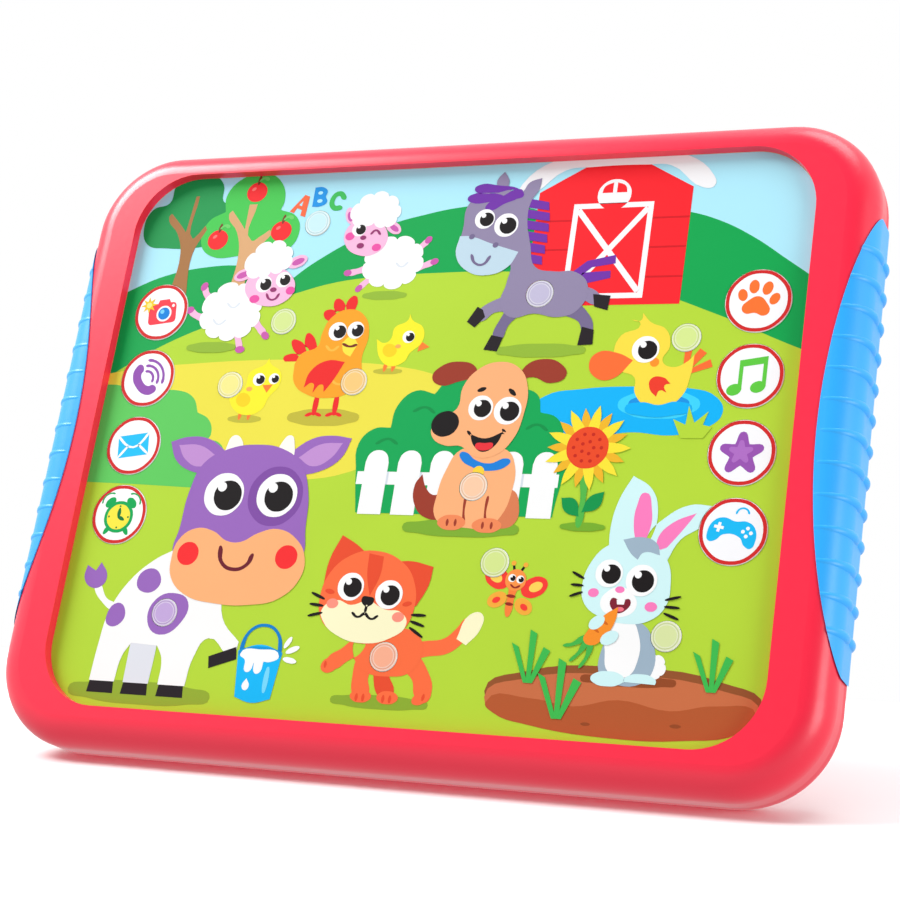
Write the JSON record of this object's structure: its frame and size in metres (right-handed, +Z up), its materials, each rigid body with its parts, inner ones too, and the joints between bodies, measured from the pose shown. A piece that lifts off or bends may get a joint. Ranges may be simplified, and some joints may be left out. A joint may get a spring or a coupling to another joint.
{
  "type": "toy tablet",
  "caption": "Handheld toy tablet: red case with ribbed side grips, a recessed printed keypad with press keys and touch spots, speaker, sound board and a battery bay behind a door.",
  "frame": {"origin": "middle of the case's footprint where its lower edge rests, half way through its thickness", "axes": "+Z up the case, +X along its width, +Y from the keypad to the back"},
  "size_m": [0.2496, 0.025, 0.188],
  "materials": {
    "red_case": "satin gloss moulded ABS",
    "blue_grip": "soft satin elastomer",
    "printed_film": "printed polyester film, satin",
    "spacer": "plain polyester sheet",
    "membrane": "clear polyester with printed tracks",
    "backing": "moulded white styrene",
    "key_white": "printed film, white",
    "spot_print": "printed film, pale tint",
    "board_green": "green solder resist",
    "chip_black": "black epoxy",
    "component": "moulded components",
    "connector_white": "nylon",
    "switch_metal": "pressed steel",
    "knob_black": "textured black plastic",
    "speaker_steel": "zinc-plated pressed steel",
    "cone_paper": "black paper cone",
    "magnet": "plated ferrite magnet",
    "gasket": "black foam ring",
    "cell": "plain wrapped steel can",
    "contact": "nickel-plated spring steel",
    "screw": "zinc-plated steel",
    "wire_red": "PVC insulation",
    "wire_black": "PVC insulation",
    "wire_yellow": "PVC insulation"
  },
  "bodies": {
    "case": {"front_bezel": "red_case", "rear_cover": "red_case", "grip_left": "blue_grip", "grip_right": "blue_grip", "graphic_overlay": "printed_film", "spacer_sheet": "spacer", "membrane_circuit": "membrane", "backing_plate": "backing", "sound_board": "board_green", "sound_chip": "chip_black", "board_parts": "component", "tail_connector": "connector_white", "switch_body": "switch_metal", "speaker_frame": "speaker_steel", "speaker_cone": "cone_paper", "speaker_magnet": "magnet", "speaker_gasket": "gasket", "battery_cells": "cell", "contact_plates": "contact", "contact_springs": "contact", "wire_red": "wire_red", "wire_black": "wire_black", "speaker_wires": "wire_yellow", "case_screws": "screw", "panel_screws": "screw", "board_screws": "screw", "speaker_screws": "screw"},
    "key_camera_button": {"key_camera": "key_white"},
    "key_phone_button": {"key_phone": "key_white"},
    "key_letter_button": {"key_letter": "key_white"},
    "key_clock_button": {"key_clock": "key_white"},
    "key_paw_button": {"key_paw": "key_white"},
    "key_music_button": {"key_music": "key_white"},
    "key_star_button": {"key_star": "key_white"},
    "key_gamepad_button": {"key_gamepad": "key_white"},
    "spot_abc_button": {"spot_abc": "spot_print"},
    "spot_sheep_button": {"spot_sheep": "spot_print"},
    "spot_chick_button": {"spot_chick": "spot_print"},
    "spot_hen_button": {"spot_hen": "spot_print"},
    "spot_horse_button": {"spot_horse": "spot_print"},
    "spot_duck_button": {"spot_duck": "spot_print"},
    "spot_dog_button": {"spot_dog": "spot_print"},
    "spot_cow_button": {"spot_cow": "spot_print"},
    "spot_cat_button": {"spot_cat": "spot_print"},
    "spot_butterfly_button": {"spot_butterfly": "spot_print"},
    "spot_rabbit_button": {"spot_rabbit": "spot_print"},
    "door": {"battery_door": "red_case", "door_screw": "screw"},
    "knob": {"switch_knob": "knob_black"}
  },
  "joints": [
    {"name": "key_camera_press", "type": "slide", "parent": "case", "child": "key_camera_button", "axis": [0, 1, 0], "range_m": [0, 0.0005], "stiffness_N_per_m": 400},
    {"name": "key_phone_press", "type": "slide", "parent": "case", "child": "key_phone_button", "axis": [0, 1, 0], "range_m": [0, 0.0005], "stiffness_N_per_m": 400},
    {"name": "key_letter_press", "type": "slide", "parent": "case", "child": "key_letter_button", "axis": [0, 1, 0], "range_m": [0, 0.0005], "stiffness_N_per_m": 400},
    {"name": "key_clock_press", "type": "slide", "parent": "case", "child": "key_clock_button", "axis": [0, 1, 0], "range_m": [0, 0.0005], "stiffness_N_per_m": 400},
    {"name": "key_paw_press", "type": "slide", "parent": "case", "child": "key_paw_button", "axis": [0, 1, 0], "range_m": [0, 0.0005], "stiffness_N_per_m": 400},
    {"name": "key_music_press", "type": "slide", "parent": "case", "child": "key_music_button", "axis": [0, 1, 0], "range_m": [0, 0.0005], "stiffness_N_per_m": 400},
    {"name": "key_star_press", "type": "slide", "parent": "case", "child": "key_star_button", "axis": [0, 1, 0], "range_m": [0, 0.0005], "stiffness_N_per_m": 400},
    {"name": "key_gamepad_press", "type": "slide", "parent": "case", "child": "key_gamepad_button", "axis": [0, 1, 0], "range_m": [0, 0.0005], "stiffness_N_per_m": 400},
    {"name": "spot_abc_press", "type": "slide", "parent": "case", "child": "spot_abc_button", "axis": [0, 1, 0], "range_m": [0, 0.0005], "stiffness_N_per_m": 400},
    {"name": "spot_sheep_press", "type": "slide", "parent": "case", "child": "spot_sheep_button", "axis": [0, 1, 0], "range_m": [0, 0.0005], "stiffness_N_per_m": 400},
    {"name": "spot_chick_press", "type": "slide", "parent": "case", "child": "spot_chick_button", "axis": [0, 1, 0], "range_m": [0, 0.0005], "stiffness_N_per_m": 400},
    {"name": "spot_hen_press", "type": "slide", "parent": "case", "child": "spot_hen_button", "axis": [0, 1, 0], "range_m": [0, 0.0005], "stiffness_N_per_m": 400},
    {"name": "spot_horse_press", "type": "slide", "parent": "case", "child": "spot_horse_button", "axis": [0, 1, 0], "range_m": [0, 0.0005], "stiffness_N_per_m": 400},
    {"name": "spot_duck_press", "type": "slide", "parent": "case", "child": "spot_duck_button", "axis": [0, 1, 0], "range_m": [0, 0.0005], "stiffness_N_per_m": 400},
    {"name": "spot_dog_press", "type": "slide", "parent": "case", "child": "spot_dog_button", "axis": [0, 1, 0], "range_m": [0, 0.0005], "stiffness_N_per_m": 400},
    {"name": "spot_cow_press", "type": "slide", "parent": "case", "child": "spot_cow_button", "axis": [0, 1, 0], "range_m": [0, 0.0005], "stiffness_N_per_m": 400},
    {"name": "spot_cat_press", "type": "slide", "parent": "case", "child": "spot_cat_button", "axis": [0, 1, 0], "range_m": [0, 0.0005], "stiffness_N_per_m": 400},
    {"name": "spot_butterfly_press", "type": "slide", "parent": "case", "child": "spot_butterfly_button", "axis": [0, 1, 0], "range_m": [0, 0.0005], "stiffness_N_per_m": 400},
    {"name": "spot_rabbit_press", "type": "slide", "parent": "case", "child": "spot_rabbit_button", "axis": [0, 1, 0], "range_m": [0, 0.0005], "stiffness_N_per_m": 400},
    {"name": "door_lift", "type": "slide", "parent": "case", "child": "door", "axis": [0, 1, 0], "range_m": [0, 0.025]},
    {"name": "switch_slide", "type": "slide", "parent": "case", "child": "knob", "axis": [1, 0, 0], "range_m": [0, 0.006]}
  ]
}
